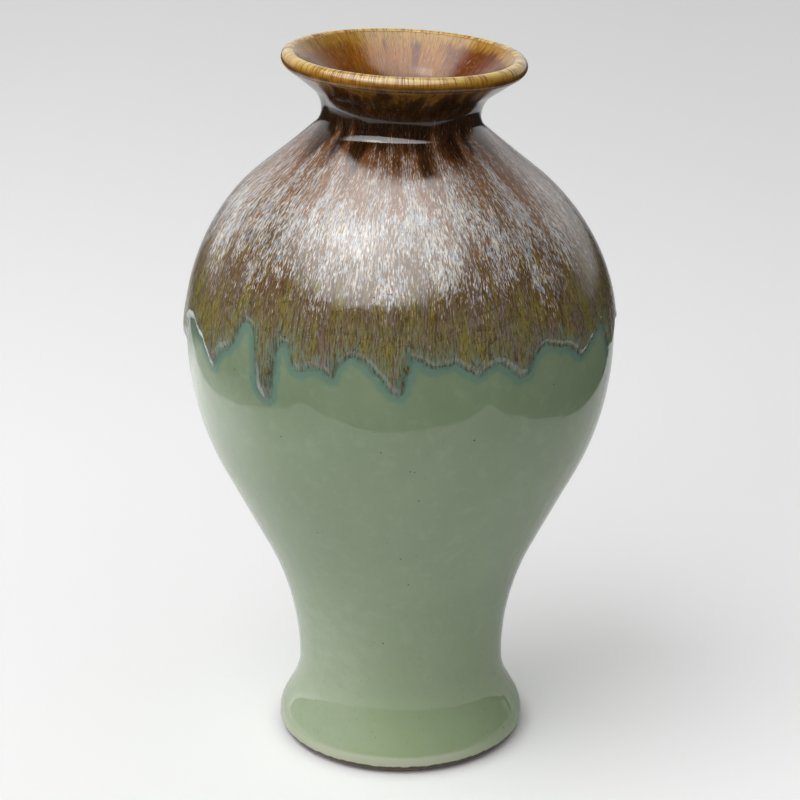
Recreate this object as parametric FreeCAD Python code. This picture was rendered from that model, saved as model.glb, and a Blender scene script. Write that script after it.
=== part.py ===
import FreeCAD, Part
import math
import os

V = FreeCAD.Vector

# A glazed stoneware vase in the meiping family, thrown in sections that are luted together.
# The origin is the middle of the foot on the table, +Z is up and -Y is the front.

# Turning points of the clay outside, from the table up
REST_RADIUS = 57.5
BULGE_RADIUS = 62.7
WAIST_RADIUS = 51.9
BELLY_RADIUS = 105.1
NECK_RADIUS = 37.8
LIP_RADIUS = 57.9
LIP_ROLL_RADIUS = 3.4
LIP_HEIGHT = 351.0

# Heights of the turning points and of the run glaze's highest notch, as shares of the lip's height
BULGE_HEIGHT_SHARE = 0.0171
WAIST_HEIGHT_SHARE = 0.1130
BELLY_HEIGHT_SHARE = 0.6170
NECK_HEIGHT_SHARE = 0.9316
RUN_NOTCH_HEIGHT_SHARE = 0.6952

# Radii of the bends at the turning points, as shares of the sum that leaves no straight between
BULGE_BEND_SHARE = 0.26
WAIST_LOW_BEND_SHARE = 0.69
WAIST_HIGH_BEND_SHARE = 0.474
BELLY_LOW_BEND_SHARE = 0.465
BELLY_HIGH_BEND_SHARE = 0.836
NECK_LOW_BEND_SHARE = 0.086
NECK_HIGH_BEND_SHARE = 0.62

# Clay walls, floor and turned foot
WAIST_WALL = 6.5
BELLY_WALL = 5.5
NECK_WALL = 5.0
FLOOR_THICKNESS = 9.0
FLOOR_CORNER = 11.0
FOOT_RING_WIDTH = 10.0
FOOT_RECESS_DEPTH = 5.0

# Luted seams, as shares of the tilt of their bend, outside and inside
FOOT_SEAM_SHARES = (0.08, 0.16)
BELLY_SEAM_SHARES = (0.24, 0.16)
NECK_SEAM_SHARES = (0.80, 0.95)

# Glaze coats
CELADON_THICKNESS = 0.8
CELADON_FOOT_LINE_SHARE = 0.58
CELADON_UNDER_RUN = 8.5
RUN_THICKNESS_AT_NECK = 0.9
RUN_THICKNESS_AT_EDGE = 1.3
LIP_GLAZE_THICKNESS = 0.6
LIP_BAND_START_SHARE = 0.75
LIP_BAND_END_SHARE = 0.80
LINING_THICKNESS = 0.6

# The ragged lower edge of the run glaze drops this far from its highest notch to its longest drip
RUN_LONGEST_DRIP = 34.0
RUN_OVERRUN = 8.0

# Each drip and notch round the belly: share of a turn from the front towards +X, and drop share
DRIP_SHARES = (
    (0.001, 0.69), (0.005, 0.46), (0.009, 0.23), (0.013, 0.26), (0.021, 0.35), (0.037, 0.33),
    (0.046, 0.41), (0.056, 0.50), (0.064, 0.41), (0.071, 0.38), (0.080, 0.50), (0.087, 0.62),
    (0.093, 0.61), (0.099, 0.43), (0.104, 0.32), (0.111, 0.27), (0.121, 0.31), (0.135, 0.40),
    (0.149, 0.58), (0.156, 0.55), (0.164, 0.46), (0.183, 0.31), (0.188, 0.48), (0.195, 0.72),
    (0.202, 0.79), (0.210, 0.73), (0.229, 0.50), (0.243, 0.68), (0.270, 0.36), (0.302, 0.55),
    (0.314, 0.60), (0.318, 0.86), (0.323, 0.92), (0.329, 0.84), (0.333, 0.50), (0.344, 0.42),
    (0.372, 0.63), (0.402, 0.35), (0.432, 0.54), (0.456, 0.60), (0.478, 0.30), (0.492, 0.48),
    (0.497, 0.76), (0.502, 0.80), (0.508, 0.72), (0.522, 0.34), (0.556, 0.56), (0.580, 0.38),
    (0.593, 0.54), (0.597, 0.90), (0.602, 1.00), (0.608, 0.92), (0.612, 0.52), (0.622, 0.42),
    (0.648, 0.33), (0.674, 0.64), (0.704, 0.38), (0.737, 0.46), (0.757, 0.60), (0.762, 0.83),
    (0.767, 0.87), (0.772, 0.76), (0.783, 0.46), (0.803, 0.36), (0.814, 0.47), (0.822, 0.52),
    (0.831, 0.65), (0.837, 0.76), (0.842, 0.81), (0.847, 0.63), (0.855, 0.47), (0.864, 0.39),
    (0.868, 0.28), (0.870, 0.15), (0.873, 0.05), (0.877, 0.00), (0.882, 0.04), (0.885, 0.16),
    (0.8875, 0.38), (0.889, 0.62), (0.891, 0.83), (0.894, 0.92), (0.899, 0.97), (0.903, 0.91),
    (0.9055, 0.76), (0.907, 0.46), (0.909, 0.22), (0.912, 0.16), (0.915, 0.19), (0.918, 0.30),
    (0.921, 0.42), (0.926, 0.50), (0.933, 0.44), (0.939, 0.42), (0.946, 0.47), (0.952, 0.51),
    (0.958, 0.33), (0.966, 0.24), (0.972, 0.25), (0.978, 0.33), (0.985, 0.49), (0.991, 0.64),
    (0.996, 0.72),
)

BULGE_HEIGHT = LIP_HEIGHT * BULGE_HEIGHT_SHARE
WAIST_HEIGHT = LIP_HEIGHT * WAIST_HEIGHT_SHARE
BELLY_HEIGHT = LIP_HEIGHT * BELLY_HEIGHT_SHARE
NECK_HEIGHT = LIP_HEIGHT * NECK_HEIGHT_SHARE
RUN_NOTCH_HEIGHT = LIP_HEIGHT * RUN_NOTCH_HEIGHT_SHARE


# Bends of the outline. Each has a centre and a radius that is below zero where the wall is hollow.

def paired_bends(low, high, low_share, high_share):
    """Bends at two turning points, one bulging and one hollow, with a straight to join them."""
    low_radius, low_height = low
    high_radius, high_height = high
    across = abs(high_radius - low_radius)
    up = high_height - low_height
    whole = (across * across + up * up) / (across + across)
    sign = 1 if low_radius > high_radius else -1
    low_bend = sign * low_share * whole
    high_bend = -sign * high_share * whole
    return [(low_radius - low_bend, low_height, low_bend),
            (high_radius - high_bend, high_height, high_bend)]


def outline_bends():
    """All bends of the clay outside, from the table to the rolled lip."""
    tuck = BULGE_RADIUS - REST_RADIUS
    under = (tuck * tuck + BULGE_HEIGHT * BULGE_HEIGHT) / (tuck + tuck)
    bulge = (BULGE_RADIUS, BULGE_HEIGHT)
    waist = (WAIST_RADIUS, WAIST_HEIGHT)
    belly = (BELLY_RADIUS, BELLY_HEIGHT)
    neck = (NECK_RADIUS, NECK_HEIGHT)
    lip = (LIP_RADIUS, LIP_HEIGHT)
    bends = [(BULGE_RADIUS - under, BULGE_HEIGHT, under)]
    bends += paired_bends(bulge, waist, BULGE_BEND_SHARE, WAIST_LOW_BEND_SHARE)
    bends += paired_bends(waist, belly, WAIST_HIGH_BEND_SHARE, BELLY_LOW_BEND_SHARE)
    bends += paired_bends(belly, neck, BELLY_HIGH_BEND_SHARE, NECK_LOW_BEND_SHARE)
    bends += paired_bends(neck, lip, NECK_HIGH_BEND_SHARE, NECK_HIGH_BEND_SHARE)[:1]
    bends += [(LIP_RADIUS - LIP_ROLL_RADIUS, LIP_HEIGHT, LIP_ROLL_RADIUS)]
    return bends


UNDER, BULGE, WAIST_LOW, WAIST_HIGH, BELLY_LOW, BELLY_HIGH, NECK_LOW, NECK_HIGH, LIP = range(9)
OUTSIDE = outline_bends()
INSIDE = OUTSIDE[:LIP] + [(OUTSIDE[LIP][0], LIP_HEIGHT, -LIP_ROLL_RADIUS)]


def covers(foot, waist, belly, neck, lip):
    """Distance of a surface from the clay outside at each bend: above zero is outwards."""
    return (foot, foot, waist, waist, belly, belly, neck, neck, lip)


CLAY = covers(0, 0, 0, 0, 0)
WALL = covers(-WAIST_WALL, -WAIST_WALL, -BELLY_WALL, -NECK_WALL, 0)
CELADON = covers(*[CELADON_THICKNESS] * 5)
RUN = covers(0, 0, CELADON_THICKNESS + RUN_THICKNESS_AT_EDGE, RUN_THICKNESS_AT_NECK,
             LIP_GLAZE_THICKNESS)
LINING = tuple(cover - LINING_THICKNESS for cover in WALL)


def on_bend(bend, tilt, cover):
    """Point of a bend where the wall's outward normal rises by tilt."""
    centre_radius, centre_height, radius = bend
    reach = radius + cover
    return V(centre_radius + reach * math.cos(tilt), 0, centre_height + reach * math.sin(tilt))


def straight_tilt(bends, low, offsets):
    """Tilt of the straight wall between the bend numbered low and the next one."""
    low_centre, low_height, low_bend = bends[low]
    high_centre, high_height, high_bend = bends[low + 1]
    across = high_centre - low_centre
    up = high_height - low_height
    change = (low_bend + offsets[low]) - (high_bend + offsets[low + 1])
    return math.atan2(up, across) - math.acos(change / math.hypot(across, up))


def first_tilt(bends, number, offsets):
    """Tilt where a bend starts: level with a turning point, or the straight below it."""
    return 0 if number % 2 else straight_tilt(bends, number - 1, offsets)


def last_tilt(bends, number, offsets):
    """Tilt where a bend ends: the straight above it, or level with a turning point."""
    return straight_tilt(bends, number, offsets) if number % 2 else 0


def rest_tilt():
    """Tilt where the outside meets the table."""
    centre_radius, centre_height, radius = OUTSIDE[UNDER]
    return math.atan2(-centre_height, REST_RADIUS - centre_radius)


def tilt_at(number, height):
    """Tilt where a bend of the outside passes a height."""
    centre_radius, centre_height, radius = OUTSIDE[number]
    return math.asin((height - centre_height) / radius)


# Edges of a half section, drawn in the XZ plane

def line(start, end):
    return Part.LineSegment(start, end).toShape()


def bend_arc(bend, start_tilt, end_tilt, cover):
    tilts = (start_tilt, (start_tilt + end_tilt) / 2, end_tilt)
    return Part.Arc(*[on_bend(bend, tilt, cover) for tilt in tilts]).toShape()


def wall_course(bends, first, last, offsets, start_tilt, end_tilt):
    """Arcs and straights up the wall from one bend to another, between two tilts."""
    edges = []
    for number in range(first, last + 1):
        begin = start_tilt if number == first else first_tilt(bends, number, offsets)
        finish = end_tilt if number == last else last_tilt(bends, number, offsets)
        edges.append(bend_arc(bends[number], begin, finish, offsets[number]))
        if number % 2 and number < last:
            top = on_bend(bends[number], finish, offsets[number])
            next_point = on_bend(bends[number + 1], finish, offsets[number + 1])
            edges.append(line(top, next_point))
    return edges


def turned(edges):
    """Solid of revolution of a closed half section."""
    outline = Part.Wire(Part.sortEdges(edges)[0])
    return Part.Face(outline).revolve(V(0, 0, 0), V(0, 0, 1), math.degrees(math.tau))


# Clay sections

def seam(number, shares):
    """Tilts outside and inside where a luted seam crosses the wall on one bend."""
    place = last_tilt if number % 2 else first_tilt
    return (place(OUTSIDE, number, CLAY) * shares[0], place(INSIDE, number, WALL) * shares[1])


def seam_line(number, tilts):
    return line(on_bend(OUTSIDE[number], tilts[0], CLAY[number]),
                on_bend(INSIDE[number], tilts[1], WALL[number]))


def floor_edges(cover):
    """Inside of the foot: an upright wall, a sloped corner and the flat floor to the middle."""
    wall = WAIST_RADIUS - WAIST_WALL - cover
    floor = FLOOR_TOP + cover
    corner = FLOOR_CORNER - cover
    turn = V(wall, 0, floor + corner)
    flat = V(wall - corner, 0, floor)
    return [line(V(wall, 0, WAIST_HEIGHT), turn), line(turn, flat), line(flat, V(0, 0, floor))]


FLOOR_TOP = FOOT_RECESS_DEPTH + FLOOR_THICKNESS
FOOT_SEAM = seam(WAIST_HIGH, FOOT_SEAM_SHARES)
BELLY_SEAM = seam(BELLY_LOW, BELLY_SEAM_SHARES)
NECK_SEAM = seam(NECK_LOW, NECK_SEAM_SHARES)


def foot_section():
    recess = V(REST_RADIUS - FOOT_RING_WIDTH, 0, 0)
    recess_top = V(recess.x - FOOT_RECESS_DEPTH, 0, FOOT_RECESS_DEPTH)
    edges = wall_course(OUTSIDE, UNDER, WAIST_HIGH, CLAY, rest_tilt(), FOOT_SEAM[0])
    edges += [seam_line(WAIST_HIGH, FOOT_SEAM)]
    edges += wall_course(INSIDE, WAIST_HIGH, WAIST_HIGH, WALL, 0, FOOT_SEAM[1])
    edges += floor_edges(0)
    edges += [line(V(0, 0, FLOOR_TOP), V(0, 0, FOOT_RECESS_DEPTH)),
              line(V(0, 0, FOOT_RECESS_DEPTH), recess_top),
              line(recess_top, recess),
              line(recess, V(REST_RADIUS, 0, 0))]
    return turned(edges)


def wall_section(first, low_seam, last, high_seam):
    """Thrown ring between two luted seams."""
    edges = wall_course(OUTSIDE, first, last, CLAY, low_seam[0], high_seam[0])
    edges += wall_course(INSIDE, first, last, WALL, low_seam[1], high_seam[1])
    edges += [seam_line(first, low_seam), seam_line(last, high_seam)]
    return turned(edges)


def mouth_tilt():
    """Tilt, through the clay, of the straight inside the mouth."""
    return straight_tilt(INSIDE, NECK_HIGH, WALL)


def neck_section():
    over_the_roll = mouth_tilt() + math.pi
    edges = wall_course(OUTSIDE, NECK_LOW, LIP, CLAY, NECK_SEAM[0], over_the_roll)
    edges += wall_course(INSIDE, NECK_LOW, NECK_HIGH, WALL, NECK_SEAM[1], mouth_tilt())
    edges += [line(on_bend(INSIDE[NECK_HIGH], mouth_tilt(), WALL[NECK_HIGH]),
                   on_bend(INSIDE[LIP], mouth_tilt(), WALL[LIP]))]
    edges += [seam_line(NECK_LOW, NECK_SEAM)]
    return turned(edges)


# Glaze coats

def across_coat(bends, number, tilt, from_offsets, to_offsets):
    """Edge of a coat, square to the wall."""
    return line(on_bend(bends[number], tilt, from_offsets[number]),
                on_bend(bends[number], tilt, to_offsets[number]))


def lip_band_tilts():
    start = straight_tilt(OUTSIDE, NECK_HIGH, CLAY) * LIP_BAND_START_SHARE
    top = math.pi / 2
    end = top + (mouth_tilt() + math.pi - top) * LIP_BAND_END_SHARE
    return start, end


def celadon_top_tilt():
    """The celadon reaches a little way up under the run glaze."""
    return tilt_at(BELLY_HIGH, RUN_NOTCH_HEIGHT + CELADON_UNDER_RUN)


def celadon_glaze():
    start = rest_tilt() * CELADON_FOOT_LINE_SHARE
    end = celadon_top_tilt()
    edges = wall_course(OUTSIDE, UNDER, BELLY_HIGH, CLAY, start, end)
    edges += wall_course(OUTSIDE, UNDER, BELLY_HIGH, CELADON, start, end)
    edges += [across_coat(OUTSIDE, UNDER, start, CLAY, CELADON),
              across_coat(OUTSIDE, BELLY_HIGH, end, CLAY, CELADON)]
    return turned(edges)


def drip_points(radius):
    """Ragged lower edge of the run glaze, laid out at one radius."""
    points = []
    for turn_share, drop_share in DRIP_SHARES:
        angle = math.tau * turn_share
        height = RUN_NOTCH_HEIGHT - RUN_LONGEST_DRIP * drop_share
        points.append(V(radius * math.sin(angle), -radius * math.cos(angle), height))
    return points


def drip_curve(radius):
    curve = Part.BSplineCurve()
    curve.interpolate(Points=drip_points(radius), PeriodicFlag=True)
    return curve.toShape()


def above_the_drips():
    """Everything above the ragged edge, from inside the wall to outside the glaze."""
    inner = drip_curve(NECK_RADIUS - NECK_WALL)
    outer = drip_curve(BELLY_RADIUS + RUN_OVERRUN)
    edge_face = Part.makeRuledSurface(inner, outer)
    return edge_face.extrude(V(0, 0, LIP_HEIGHT))


def run_glaze():
    start = tilt_at(BELLY_LOW, RUN_NOTCH_HEIGHT - RUN_LONGEST_DRIP - RUN_OVERRUN)
    step = celadon_top_tilt()
    end = lip_band_tilts()[0]
    edges = wall_course(OUTSIDE, BELLY_LOW, LIP, RUN, start, end)
    edges += wall_course(OUTSIDE, BELLY_LOW, BELLY_HIGH, CELADON, start, step)
    edges += wall_course(OUTSIDE, BELLY_HIGH, LIP, CLAY, step, end)
    edges += [across_coat(OUTSIDE, BELLY_LOW, start, CELADON, RUN),
              across_coat(OUTSIDE, BELLY_HIGH, step, CLAY, CELADON),
              across_coat(OUTSIDE, LIP, end, CLAY, RUN)]
    return turned(edges).common(above_the_drips())


def lip_band():
    start, end = lip_band_tilts()
    band = covers(0, 0, 0, 0, LIP_GLAZE_THICKNESS)
    edges = [bend_arc(OUTSIDE[LIP], start, end, 0),
             bend_arc(OUTSIDE[LIP], start, end, LIP_GLAZE_THICKNESS),
             across_coat(OUTSIDE, LIP, start, CLAY, band),
             across_coat(OUTSIDE, LIP, end, CLAY, band)]
    return turned(edges)


def inner_lining():
    end = lip_band_tilts()[1] - math.pi
    edges = []
    for offsets, thickness in ((WALL, 0), (LINING, LINING_THICKNESS)):
        edges += wall_course(INSIDE, WAIST_HIGH, LIP, offsets, 0, end)
        edges += floor_edges(thickness)
    edges += [across_coat(INSIDE, LIP, end, WALL, LINING),
              line(V(0, 0, FLOOR_TOP), V(0, 0, FLOOR_TOP + LINING_THICKNESS))]
    return turned(edges)


def build():
    return {
        "foot_section": foot_section(),
        "lower_body_section": wall_section(WAIST_HIGH, FOOT_SEAM, BELLY_LOW, BELLY_SEAM),
        "shoulder_section": wall_section(BELLY_LOW, BELLY_SEAM, NECK_LOW, NECK_SEAM),
        "neck_and_lip_section": neck_section(),
        "green_celadon_glaze": celadon_glaze(),
        "streaked_brown_glaze": run_glaze(),
        "lip_glaze_band": lip_band(),
        "inner_glaze_lining": inner_lining(),
    }


os.makedirs("parts", exist_ok=True)
for name, shape in build().items():
    solid = shape.Solids[0]
    print(name, len(shape.Solids), "valid", solid.isValid(), "volume", round(solid.Volume))
    solid.exportStep("parts/" + name + ".step")
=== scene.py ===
import bpy
import bmesh
import math
import numpy as np
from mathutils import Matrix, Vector


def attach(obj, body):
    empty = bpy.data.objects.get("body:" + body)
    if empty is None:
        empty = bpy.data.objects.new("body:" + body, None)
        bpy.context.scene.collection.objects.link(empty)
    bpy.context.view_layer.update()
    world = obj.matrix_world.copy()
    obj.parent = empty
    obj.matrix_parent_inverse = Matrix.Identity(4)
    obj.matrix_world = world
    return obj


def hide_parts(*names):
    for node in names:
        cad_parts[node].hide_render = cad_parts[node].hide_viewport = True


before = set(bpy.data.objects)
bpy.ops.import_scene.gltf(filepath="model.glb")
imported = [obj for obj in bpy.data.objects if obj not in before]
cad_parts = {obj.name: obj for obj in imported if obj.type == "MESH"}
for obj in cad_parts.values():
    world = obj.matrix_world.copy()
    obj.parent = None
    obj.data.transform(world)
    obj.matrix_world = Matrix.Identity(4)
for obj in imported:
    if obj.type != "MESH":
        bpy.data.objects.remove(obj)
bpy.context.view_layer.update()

# Sizes are in millimetres until a mesh is made. The front is -Y, and turns are counted from it
# towards +X.
MM = 0.001
SAME_POINT = 1e-6

# Turning points of the clay outside
REST_RADIUS = 57.5
BULGE_RADIUS = 62.7
WAIST_RADIUS = 51.9
BELLY_RADIUS = 105.1
NECK_RADIUS = 37.8
LIP_RADIUS = 57.9
LIP_ROLL_RADIUS = 3.4
LIP_HEIGHT = 351.0
BULGE_HEIGHT = LIP_HEIGHT * 0.0171
WAIST_HEIGHT = LIP_HEIGHT * 0.1130
BELLY_HEIGHT = LIP_HEIGHT * 0.6170
NECK_HEIGHT = LIP_HEIGHT * 0.9316

# Clay walls, floor and foot
WAIST_WALL = 6.5
BELLY_WALL = 5.5
NECK_WALL = 5.0
FLOOR_THICKNESS = 9.0
FLOOR_CORNER = 11.0
FOOT_RING_WIDTH = 10.0
FOOT_RECESS_DEPTH = 5.0
FOOT_RING_ROUND = 1.2
TOOL_RING_DEPTH = 0.22
TOOL_RING_SPACING = 4.3

# Glaze coats
CELADON_THICKNESS = 0.8
CELADON_FOOT_LINE_SHARE = 0.58
CELADON_TOP_HEIGHT = 252.5
RUN_THICKNESS_AT_NECK = 0.9
RUN_THICKNESS_AT_EDGE = 1.3
RUN_EDGE_WIDTH = 3.4
LIP_GLAZE_THICKNESS = 0.6
LINING_THICKNESS = 0.6

# The ragged lower edge of the run glaze: thousandths of a turn, hundredths of the longest drop
RUN_NOTCH_HEIGHT = LIP_HEIGHT * 0.6952
RUN_LONGEST_DRIP = 34.0
DRIPS = (
    (1, 69), (5, 46), (9, 23), (13, 26), (21, 35), (37, 33), (46, 41), (56, 50), (64, 41),
    (71, 38), (80, 50), (87, 62), (93, 61), (99, 43), (104, 32), (111, 27), (121, 31), (135, 40),
    (149, 58), (156, 55), (164, 46), (183, 31), (188, 48), (195, 72), (202, 79), (210, 73),
    (229, 50), (243, 68), (270, 36), (302, 55), (314, 60), (318, 86), (323, 92), (329, 84),
    (333, 50), (344, 42), (372, 63), (402, 35), (432, 54), (456, 60), (478, 30), (492, 48),
    (497, 76), (502, 80), (508, 72), (522, 34), (556, 56), (580, 38), (593, 54), (597, 90),
    (602, 100), (608, 92), (612, 52), (622, 42), (648, 33), (674, 64), (704, 38), (737, 46),
    (757, 60), (762, 83), (767, 87), (772, 76), (783, 46), (803, 36), (814, 47), (822, 52),
    (831, 65), (837, 76), (842, 81), (847, 63), (855, 47), (864, 39), (868, 28), (870, 15),
    (873, 5), (877, 0), (882, 4), (885, 16), (887.5, 38), (889, 62), (891, 83), (894, 92),
    (899, 97), (903, 91), (905.5, 76), (907, 46), (909, 22), (912, 16), (915, 19), (918, 30),
    (921, 42), (926, 50), (933, 44), (939, 42), (946, 47), (952, 51), (958, 33), (966, 24),
    (972, 25), (978, 33), (985, 49), (991, 64), (996, 72),
)

# The thrower's lean: above the belly the right side sinks a little, and the lip moves right
LEAN_DEGREES = 1.9
LEAN_START_HEIGHT = 215.0
LEAN_FULL_HEIGHT = 300.0
LEFT_SHOULDER_LEAN_SHARE = 0.4
LIP_SHIFT = 1.8
LIP_RISE = 0.7
LIP_SPREAD = 0.01
LIP_LEAN_DEGREES = 0.6
LIP_SHIFT_START_HEIGHT = 322.0
LIP_SHIFT_FULL_HEIGHT = 351.0


def ease(value, start, full):
    share = np.clip((np.asarray(value, float) - start) / (full - start), 0, 1)
    return share * share * (3 - 2 * share)


# Outline of the pot

def paired_bends(low, high, low_share, high_share):
    """Bends at two turning points, one bulging and one hollow, with a straight to join them."""
    across = abs(high[0] - low[0])
    up = high[1] - low[1]
    whole = (across * across + up * up) / (2 * across)
    sign = 1 if low[0] > high[0] else -1
    low_bend = sign * low_share * whole
    high_bend = -sign * high_share * whole
    return [(low[0] - low_bend, low[1], low_bend), (high[0] - high_bend, high[1], high_bend)]


TUCK = BULGE_RADIUS - REST_RADIUS
UNDER_BEND = (TUCK * TUCK + BULGE_HEIGHT * BULGE_HEIGHT) / (2 * TUCK)
TURNING_POINTS = ((BULGE_RADIUS, BULGE_HEIGHT), (WAIST_RADIUS, WAIST_HEIGHT),
                  (BELLY_RADIUS, BELLY_HEIGHT), (NECK_RADIUS, NECK_HEIGHT),
                  (LIP_RADIUS, LIP_HEIGHT))
BEND_SHARES = ((0.26, 0.69), (0.474, 0.465), (0.836, 0.086), (0.62, 0.62))
UNDER, BULGE, WAIST_LOW, WAIST_HIGH, BELLY_LOW, BELLY_HIGH, NECK_LOW, NECK_HIGH, LIP = range(9)
OUTSIDE = [(BULGE_RADIUS - UNDER_BEND, BULGE_HEIGHT, UNDER_BEND)]
for low_point, high_point, shares in zip(TURNING_POINTS, TURNING_POINTS[1:], BEND_SHARES):
    OUTSIDE += paired_bends(low_point, high_point, *shares)
OUTSIDE[LIP] = (LIP_RADIUS - LIP_ROLL_RADIUS, LIP_HEIGHT, LIP_ROLL_RADIUS)
INSIDE = OUTSIDE[:LIP] + [(OUTSIDE[LIP][0], LIP_HEIGHT, -LIP_ROLL_RADIUS)]
CLAY = (0,) * 9
WALL = (-WAIST_WALL,) * 4 + (-BELLY_WALL,) * 2 + (-NECK_WALL,) * 2 + (0,)
FLOOR_TOP = FOOT_RECESS_DEPTH + FLOOR_THICKNESS


def straight_tilt(bends, low, covers):
    low_centre, low_height, low_bend = bends[low]
    high_centre, high_height, high_bend = bends[low + 1]
    across = high_centre - low_centre
    up = high_height - low_height
    change = (low_bend + covers[low]) - (high_bend + covers[low + 1])
    return math.atan2(up, across) - math.acos(change / math.hypot(across, up))


def wall_course(bends, covers, first, last, start, end):
    """Points up the wall as rows of radius, height and the two shares of the normal."""
    rows = []
    for number in range(first, last + 1):
        centre, height, radius = bends[number]
        reach = radius + covers[number]
        begin, finish = start, end
        if number > first:
            begin = 0 if number % 2 else straight_tilt(bends, number - 1, covers)
        if number < last:
            finish = straight_tilt(bends, number, covers) if number % 2 else 0
        if number > first and not number % 2:
            low_spot = rows[-1]
            across = centre + reach * math.cos(begin) - low_spot[0]
            up = height + reach * math.sin(begin) - low_spot[1]
            for share in np.linspace(0, 1, int(math.hypot(across, up) / FINE_SPACING) + 2)[1:-1]:
                rows.append((low_spot[0] + across * share, low_spot[1] + up * share,
                             math.cos(begin), math.sin(begin)))
        steps = int(abs((finish - begin) * reach) / FINE_SPACING) + 2
        tilts = np.linspace(begin, finish, steps)
        if rows and number % 2:
            tilts = tilts[1:]
        for tilt in tilts:
            rows.append((centre + reach * math.cos(tilt), height + reach * math.sin(tilt),
                         math.cos(tilt), math.sin(tilt)))
    return np.array(rows)


REST_TILT = math.atan2(-OUTSIDE[UNDER][1], REST_RADIUS - OUTSIDE[UNDER][0])
MOUTH_TILT = straight_tilt(INSIDE, NECK_HIGH, WALL)
OVER_THE_ROLL = MOUTH_TILT + math.pi
FINE_SPACING = 0.4


def along(rows):
    """Distance along a course of points."""
    return np.append(0, np.cumsum(np.hypot(np.diff(rows[:, 0]), np.diff(rows[:, 1]))))


def clay_skin():
    """The whole clay surface, from the table up, over the roll and down inside to the floor."""
    outer = wall_course(OUTSIDE, CLAY, UNDER, LIP, REST_TILT, OVER_THE_ROLL)
    inner = wall_course(INSIDE, WALL, WAIST_HIGH, NECK_HIGH, 0, MOUTH_TILT)[::-1]
    inner[:, 2:] *= -1
    wall = WAIST_RADIUS - WAIST_WALL
    corner = np.linspace(0, math.pi / 2, 24)
    floor = np.c_[wall - FLOOR_CORNER + FLOOR_CORNER * np.cos(corner),
                  FLOOR_TOP + FLOOR_CORNER - FLOOR_CORNER * np.sin(corner),
                  -np.cos(corner), np.sin(corner)]
    centre = np.array([[0, FLOOR_TOP, 0, 1]])
    return np.vstack([outer, inner, floor, centre]), len(outer)


SKIN, OUTER_COUNT = clay_skin()
SKIN_RUN = along(SKIN)
ROLL_TOP_RUN = SKIN_RUN[np.argmax(SKIN[:, 1])]
INSIDE_START_RUN = SKIN_RUN[OUTER_COUNT]


def skin_at(run):
    """Radius, height and normal of the clay skin at a distance along it."""
    return [np.interp(run, SKIN_RUN, SKIN[:, column]) for column in range(4)]


def bend_at(run):
    """How sharply the skin bends, in radians a millimetre, a little either side too."""
    tilt = np.unwrap(np.arctan2(SKIN[:, 3], SKIN[:, 2]))
    sharp = np.abs(np.diff(tilt)) / np.maximum(np.diff(SKIN_RUN), 1e-9)
    sharp = np.where(np.diff(SKIN_RUN) > 5, 0, sharp)
    middle = (SKIN_RUN[1:] + SKIN_RUN[:-1]) / 2
    return np.max([np.interp(run + step, middle, sharp) for step in (-2, -1, 0, 1, 2)], axis=0)


def rows_along(start, end, sag, widest):
    """Places from start to end, closer where the skin bends, so that chords sag no more."""
    places = np.linspace(start, end, 2000)
    spacing = np.clip(np.sqrt(8 * sag / np.maximum(bend_at(places), 1e-6)), 0.3, widest)
    steps = (places[1] - places[0]) * 2 / (spacing[1:] + spacing[:-1])
    count = np.append(0, np.cumsum(np.abs(steps)))
    whole = int(math.ceil(count[-1]))
    return np.interp(np.linspace(0, count[-1], whole + 1), count, places)


def run_at_height(height):
    """Distance along the outside at a height on the body, below the lip."""
    upto = np.argmax(SKIN[:, 1])
    return np.interp(height, SKIN[:upto, 1], SKIN_RUN[:upto])


def roll_run(tilt):
    """Distance along the skin where the lip's roll has a tilt."""
    return ROLL_TOP_RUN + (tilt - math.pi / 2) * LIP_ROLL_RADIUS


# How far round the roll the honey band reaches, outside and inside, as shares of the way
LIP_BAND_OUTER_SHARE = 0.75
LIP_BAND_INNER_SHARE = 0.8
LIP_BAND_START = roll_run(straight_tilt(OUTSIDE, NECK_HIGH, CLAY) * LIP_BAND_OUTER_SHARE)
LIP_BAND_END = roll_run(math.pi / 2 + (OVER_THE_ROLL - math.pi / 2) * LIP_BAND_INNER_SHARE)


def hand_waver(turn, height, runs):
    """Slight swelling and sinking of a thrown wall, in millimetres, least at the foot and lip."""
    around = math.tau * turn
    calm = ease(height, 3, 30) * (1 - 0.75 * ease(height, 330, 350))
    calm = calm * np.where(runs < INSIDE_START_RUN, 1, 0.2)
    return calm * (0.14 * np.sin(2 * around + height / 47 + 0.6)
            + 0.09 * np.sin(3 * around - height / 29 + 2.1)
            + 0.05 * np.sin(5 * around + height / 17 + 4.0)
            + 0.035 * np.sin(7 * around - height / 11 + 1.3)
            + 0.025 * np.sin(height / 2.9 + 1.2 * np.sin(around)))


def leaned(points):
    """Points in millimetres after the lean of the shoulder and the set of the lip."""
    moved = points.copy()
    side = points[..., 0]
    height = points[..., 2]
    lip = ease(height, LIP_SHIFT_START_HEIGHT, LIP_SHIFT_FULL_HEIGHT)
    left = LEFT_SHOULDER_LEAN_SHARE
    left = left + (1 - left) * ease(height, LEAN_FULL_HEIGHT, LIP_SHIFT_START_HEIGHT + 8)
    weight = (1 + left) / 2 + (1 - left) / 2 * np.tanh(side / 35)
    slope = math.tan(math.radians(LEAN_DEGREES)) * weight \
        * ease(height, LEAN_START_HEIGHT, LEAN_FULL_HEIGHT) \
        + math.tan(math.radians(LIP_LEAN_DEGREES)) * lip
    moved[..., :2] *= 1 + LIP_SPREAD * lip[..., None]
    moved[..., 2] = height - side * slope + LIP_RISE * lip
    moved[..., 0] += LIP_SHIFT * lip
    return moved


# The drip line

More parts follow.
